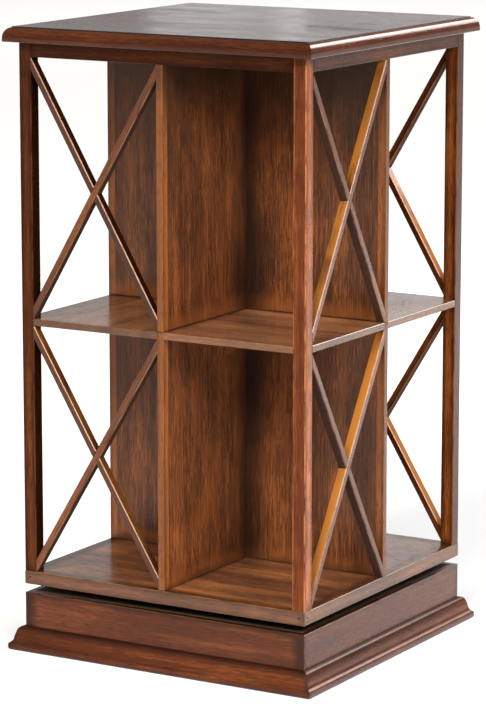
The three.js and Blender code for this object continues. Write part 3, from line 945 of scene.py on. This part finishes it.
# ---- the case ----
@dataclass
class Case:
    """The turning case: a lipped floor board, corner posts, crossing partitions, shelves, aprons."""

    post_round: float = 1.5 * MM
    post_steps: int = 4
    floor_arris: float = 0.8 * MM
    shelf_arris: float = 0.7 * MM
    partition_arris: float = 0.7 * MM
    lipping: float = 12.0 * MM  # width of the strips round the floor board
    slot_half: float = 5.3 * MM  # half the width of the slot where the partitions cross
    slot_spare: float = 0.3 * MM  # what each slot's bottom is clear of the other's
    plug_radius: float = 1.5 * MM
    plug_inset: float = 9.0 * MM  # from the floor board's end and its top to a plug's middle
    plug_proud: float = 0.04 * MM
    plug_depth: float = 1.0 * MM
    plug_steps: int = 16
    plug_tone: float = 0.3  # darker than the wood round it

    def build(self) -> None:
        """Builds and dresses the case."""
        self._floor()
        for quarter, corner in enumerate(POST_CORNERS):
            self._post(quarter, corner)
        self._partition("partition_across", 0)
        self._partition("partition_through", 1)
        for quarter, corner in enumerate(SHELF_CORNERS):
            self._shelf(quarter, corner)
        for quarter, side in enumerate(SIDES):
            self._apron(quarter, side)

    def _floor(self) -> None:
        """The floor board, lipped all round with strips mitred at the corners."""
        low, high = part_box("bottom_board")
        inner = high.x - self.lipping
        core = sawn_board(Sawn.PLAN, rectangle((-inner, -inner), (inner, inner)), low.z, high.z)
        lay_grain(core, "floor_core", X_AXIS, Y_AXIS)
        parts = [core]
        outline = [(-high.x, -high.x), (high.x, -high.x), (inner, -inner), (-inner, -inner)]
        for quarter, side in enumerate(SIDES):
            strip = sawn_board(Sawn.PLAN, outline, low.z, high.z)
            front = [e for e in strip.edges if runs(e, X_AXIS) and e.verts[0].co.y < -inner - MM]
            ease_arrises(strip, front, self.floor_arris, CHAMFER)
            lay_grain(strip, f"floor_lipping_{side}", X_AXIS, Z_AXIS)
            quarter_turn(strip, quarter)
            parts.append(strip)
        set_down(gather(parts), "floor_board", Finish.FLOOR, "rack", ["bottom_board"])
        self._plugs(high)

    def _plugs(self, corner: Vector) -> None:
        """The filled nail holes near the ends of the floor's lippings."""
        plugs = []
        for quarter in range(len(SIDES)):
            for end in (-1, 1):
                plug = bmesh.new()
                middle = (end * (corner.x - self.plug_inset), -corner.x - self.plug_proud,
                          corner.z - self.plug_inset)
                place = Matrix.Translation(middle) @ Matrix.Rotation(math.pi / 2, 4, "X")
                bmesh.ops.create_circle(plug, cap_ends=True, segments=self.plug_steps,
                                        radius=self.plug_radius, matrix=place)
                thicken(plug, plug.faces, Y_AXIS * self.plug_depth)
                lay_grain(plug, f"plug_{quarter}_{end}", X_AXIS, Z_AXIS, self.plug_tone)
                quarter_turn(plug, quarter)
                plugs.append(plug)
        set_down(gather(plugs), "nail_hole_filling", Finish.CASE, "rack", [])

    def _post(self, quarter: int, corner: str) -> None:
        """A corner post with its upright arrises rounded."""
        bm = sawn_board(Sawn.PLAN, *node_rectangle("post_front_left", Sawn.PLAN))
        ease_arrises(bm, [e for e in bm.edges if runs(e, Z_AXIS)], self.post_round, self.post_steps)
        fit_board(bm, f"post_{corner}", f"corner_post_{corner}", Finish.CASE, "rack", Z_AXIS, X_AXIS,
                  quarter)

    def _apron(self, quarter: int, side: str) -> None:
        """The rail under the top, between two posts."""
        low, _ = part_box("apron_front")
        bm = sawn_board(Sawn.FRONT, *node_rectangle("apron_front", Sawn.FRONT))
        lower_edges = [e for e in bm.edges if runs(e, X_AXIS) and at_height(e, low.z)]
        ease_arrises(bm, lower_edges, self.shelf_arris)
        fit_board(bm, f"apron_{side}", f"top_rail_{side}", Finish.CASE, "rack", X_AXIS, Z_AXIS, quarter)

    def _shelf(self, quarter: int, corner: str) -> None:
        """A quarter of the shelf, notched round its corner post."""
        low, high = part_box("shelf_front_right")
        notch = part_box("post_front_right")[0].x
        outline = [(low.x, low.y), (notch, low.y), (notch, -notch), (high.x, -notch), (high.x, high.y),
                   (low.x, high.y)]
        bm = sawn_board(Sawn.PLAN, outline, low.z, high.z)
        shown = [e for e in bm.edges if not runs(e, Z_AXIS)
                 and (all(v.co.y < low.y + TOUCH for v in e.verts)
                      or all(v.co.x > high.x - TOUCH for v in e.verts))]
        ease_arrises(bm, shown, self.shelf_arris, CHAMFER)
        fit_board(bm, f"shelf_{corner}", f"shelf_board_{corner}", Finish.SHELF, "rack", X_AXIS, Y_AXIS,
                  quarter)

    def _partition(self, node: str, quarter: int) -> None:
        """An upright board across the case, notched behind the aprons and slotted for the other one.

        Args:
            node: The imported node.
            quarter: How many quarter turns it stands at. The first is slotted from its top.
        """
        low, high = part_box("partition_across")
        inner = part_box("post_front_right")[0].x
        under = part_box("apron_front")[0].z
        slot, spare = self.slot_half, self.slot_spare
        middle = (low.z + high.z) / 2
        mouth, bottom = (low.z, middle + spare) if quarter else (high.z, middle - spare)
        cut = [(-slot, mouth), (-slot, bottom), (slot, bottom), (slot, mouth)]
        outline = [(low.x, low.z), *(cut if quarter else []), (high.x, low.z), (high.x, under),
                   (inner, under), (inner, high.z), *([] if quarter else reversed(cut)),
                   (-inner, high.z), (-inner, under), (low.x, under)]
        bm = sawn_board(Sawn.FRONT, outline, low.y, high.y)
        edges = [e for e in bm.edges if runs(e, Z_AXIS) and abs(e.verts[0].co.x) > high.x - TOUCH]
        ease_arrises(bm, edges, self.partition_arris)
        fit_board(bm, node, node.replace("partition", "partition_board"), Finish.VENEER, "rack", Z_AXIS,
                  X_AXIS, quarter)


# ---- the lattice ----
@dataclass
class Lattice:
    """The crossed bars on the left half of each face, half-lapped where they meet."""

    width: float = 10.0 * MM
    clearance: float = 0.3 * MM
    arris: float = 1.2 * MM

    def build(self) -> None:
        """Builds and dresses every bar."""
        for quarter, side in enumerate(SIDES):
            for tier in ("lower", "upper"):
                for rising in (True, False):
                    self._bar(quarter, side, tier, rising)

    def _bar(self, quarter: int, side: str, tier: str, rising: bool) -> None:
        """One bar, drawn on the front and turned to its side.

        Args:
            quarter: How many quarter turns its side is from the front.
            side: Its side of the case.
            tier: "lower" or "upper".
            rising: True for the bar that climbs from the post, which passes in front at the lap.
        """
        slope = "rising" if rising else "falling"
        low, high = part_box(f"lattice_front_{tier}_{slope}")
        run, rise = high.x - low.x, high.z - low.z
        end = self._cut_height(run, rise)
        foot, head = (low.x, high.x) if rising else (high.x, low.x)
        outline = [(foot, low.z), (head, high.z - end), (head, high.z), (foot, low.z + end)]
        bm = bmesh.new()
        start, further = (low.y, high.y) if rising else (high.y, low.y)
        bm.faces.new([bm.verts.new((x, start, z)) for x, z in outline])
        other = Vector((foot - head, 0.0, rise - end)).normalized()
        self._scribe(bm, (low + high) / 2, other.cross(Y_AXIS))
        half = (further - start) / 2
        lap = math.copysign(self.clearance / 2, half)
        thicken(bm, bm.faces, Y_AXIS * (half - lap))
        carried = [f for f in bm.faces if abs(f.calc_center_median().y - start - half + lap) < TOUCH]
        carried.sort(key=lambda face: face.calc_center_median().z)
        thicken(bm, [carried[0], carried[-1]], Y_AXIS * (half + lap))  # all but the lap's own middle
        along = Vector((head - foot, 0.0, rise - end)).normalized()
        shown = [e for e in bm.edges if runs(e, along)
                 and all(min(abs(v.co.y - low.y), abs(v.co.y - high.y)) < TOUCH for v in e.verts)]
        ease_arrises(bm, shown, self.arris, CHAMFER)
        fit_board(bm, f"lattice_{side}_{tier}_{slope}", f"bar_{side}_{tier}_{slope}", Finish.LATTICE,
                  "rack", along, along.cross(Y_AXIS), quarter)

    def _cut_height(self, run: float, rise: float) -> float:
        """The height of a bar's end, cut upright, for bars that just fit the opening's corners."""
        square = self.width ** 2
        spare = run ** 2 - square
        inside = square ** 2 * rise ** 2 + spare * square * (run ** 2 + rise ** 2)
        return (math.sqrt(inside) - square * rise) / spare

    def _scribe(self, bm: Work, crossing: Vector, square_to_other: Vector) -> None:
        """Cuts the outline where the other bar's two edges cross it."""
        for way in (-1, 1):
            geometry = [*bm.verts, *bm.edges, *bm.faces]
            edge = crossing + square_to_other * way * (self.width / 2 + self.clearance)
            bmesh.ops.bisect_plane(bm, geom=geometry, plane_co=edge, plane_no=square_to_other)


# ---- the top ----
@dataclass
class Top:
    """The top: a square panel with a thumbnail nose mitred round it."""

    arris: float = 0.6 * MM
    reach: float = 10.25 * MM  # how far the nose stands out from the panel
    drop: float = 1.5 * MM  # how far the nose starts below the panel's face
    band: float = 4.75 * MM  # height of the upright band under the nose's round
    heel: float = 1.5 * MM  # how far the round at the band's foot reaches
    heel_steps: int = 4
    curve_steps: int = 12

    def build(self) -> None:
        """Builds and dresses the panel and the four lengths of nose."""
        low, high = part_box("top_panel")
        panel = sawn_board(Sawn.PLAN, *node_rectangle("top_panel", Sawn.PLAN))
        ease_arrises(panel, [e for e in panel.edges if at_height(e, high.z)], self.arris)
        fit_board(panel, "top_panel", "top_board", Finish.TOP, "rack", X_AXIS, Y_AXIS)
        for quarter, side in enumerate(SIDES):
            nose = mitred(self._profile(low.z, high.z - self.drop), high.x)
            fit_board(nose, f"top_moulding_{side}", f"top_nose_{side}", Finish.NOSE, "rack", X_AXIS,
                      Z_AXIS, quarter, MOULDING_CREASE)

    def _profile(self, bottom: float, top: float) -> Outline:
        """The nose's section: a narrow upright band under an elliptical round."""
        round_start = bottom + self.band
        points = [(0.0, bottom), (self.reach - self.heel, bottom)]
        points += arc(points[-1], (self.reach, bottom), (self.reach, bottom + self.heel), self.heel_steps)
        for step in range(self.curve_steps + 1):
            angle = math.pi / 2 * step / self.curve_steps
            points.append((self.reach * math.cos(angle),
                           round_start + (top - round_start) * math.sin(angle)))
        return points


# ---- the studio ----
def hang_lamp(name: str, kind: str, energy: float, colour: Colour, faces: Vector,
              settings: dict[str, Any]) -> bpy.types.Object:
    """Hangs a lamp.

    Args:
        name: The lamp's name.
        kind: Its type, such as "AREA".
        energy: Its energy, in its type's units.
        colour: The colour of its light.
        faces: The direction it shines in.
        settings: Its own properties.

    Returns:
        The lamp's object.
    """
    lamp = bpy.data.lights.new(name, kind)
    lamp.energy = energy
    lamp.color = colour
    for key, value in settings.items():
        setattr(lamp, key, value)
    holder = bpy.data.objects.new(name, lamp)
    holder.rotation_euler = faces.to_track_quat("-Z", "Y").to_euler()
    bpy.context.scene.collection.objects.link(holder)
    return holder


@dataclass(frozen=True)
class SoftLight:
    """A panel of soft white light that faces a point."""

    name: str
    place: tuple[float, float, float]
    target: tuple[float, float, float]
    width: float
    height: float
    radiance: float

    def hang(self) -> None:
        """Hangs the light."""
        energy = self.radiance * math.pi * self.width * self.height
        size = {"shape": "RECTANGLE", "size": self.width, "size_y": self.height}
        holder = hang_lamp(self.name, "AREA", energy, (1.0, 1.0, 1.0),
                           Vector(self.target) - Vector(self.place), size)
        holder.location = self.place
        holder.visible_camera = False


@dataclass(frozen=True)
class Daylight:
    """Soft, slightly warm light from a far window: even over the whole floor."""

    name: str
    towards: tuple[float, float, float]  # the direction of the window
    strength: float
    spread: float  # the angle that the window fills, in degrees
    colour: Colour = (1.0, 0.975, 0.94)

    def hang(self) -> None:
        """Hangs the light."""
        hang_lamp(self.name, "SUN", self.strength, self.colour, -Vector(self.towards),
                  {"angle": math.radians(self.spread)})


@dataclass
class Studio:
    """A pale floor, soft lights and the camera."""

    floor_half: float = 60.0
    floor_colour: Colour = (0.93, 0.93, 0.93)
    sky: float = 0.22
    eye: tuple[float, float, float] = (2.41452, -4.08151, 1.31574)
    direction: tuple[float, float, float] = (-0.500983, 0.845561, -0.184503)
    lens: float = 168.5
    sensor: float = 36.0
    sight: float = 200.0
    lights: list[SoftLight | Daylight] = field(default_factory=lambda: [
        Daylight("window", (0.06, -0.77, 0.63), 4.0, 22.0),
        SoftLight("key", (3.14, -1.88, 2.80), (0.0, 0.0, 0.55), 2.3, 1.5, 12.0),
        SoftLight("rear", (0.92, 3.13, 2.34), (0.2, 0.0, 0.5), 1.2, 1.2, 6.0),
        SoftLight("rear_wash", (1.8, 2.7, 2.6), (1.8, 2.7, 0.0), 2.2, 2.2, 7.0),
        SoftLight("backdrop_left", (-7.0, 9.6, 3.4), (0.0, 0.0, 0.5), 2.4, 2.4, 0.46),
        SoftLight("backdrop_right", (-4.9, 10.9, 3.4), (0.0, 0.0, 0.5), 2.4, 2.4, 1.05),
        SoftLight("backdrop_low", (-6.2, 10.3, 1.55), (0.0, 0.0, 0.9), 0.8, 0.8, 0.8),
    ])

    def build(self) -> None:
        """Builds the studio."""
        self._floor()
        for light in self.lights:
            light.hang()
        world = bpy.data.worlds.new("studio_surroundings")
        world.use_nodes = True
        world.node_tree.nodes["Background"].inputs["Color"].default_value = (1.0, 1.0, 1.0, 1.0)
        world.node_tree.nodes["Background"].inputs["Strength"].default_value = self.sky
        bpy.context.scene.world = world
        bpy.context.scene.view_settings.view_transform = "Standard"
        self._camera()

    def _floor(self) -> None:
        """The floor."""
        bm = bmesh.new()
        bmesh.ops.create_grid(bm, x_segments=8, y_segments=8, size=self.floor_half)
        mesh = bpy.data.meshes.new("studio_floor")
        bm.to_mesh(mesh)
        bm.free()
        mesh.materials.append(FloorPaint("floor_paint", self.floor_colour).make())
        floor = bpy.data.objects.new("studio_floor", mesh)
        bpy.context.scene.collection.objects.link(floor)

    def _camera(self) -> None:
        """The camera."""
        optics = bpy.data.cameras.new("camera")
        optics.lens = self.lens
        optics.sensor_width = self.sensor
        optics.clip_end = self.sight
        camera = bpy.data.objects.new("camera", optics)
        camera.location = self.eye
        camera.rotation_euler = Vector(self.direction).to_track_quat("-Z", "Y").to_euler()
        bpy.context.scene.collection.objects.link(camera)
        bpy.context.scene.camera = camera


def main() -> None:
    """Builds the bookcase and the studio."""
    logging.basicConfig(level=logging.INFO, format="%(message)s")
    for assembly in (Base(), Swivel(), Case(), Lattice(), Top()):
        assembly.build()
    Studio().build()


if __name__ == "__main__":
    main()
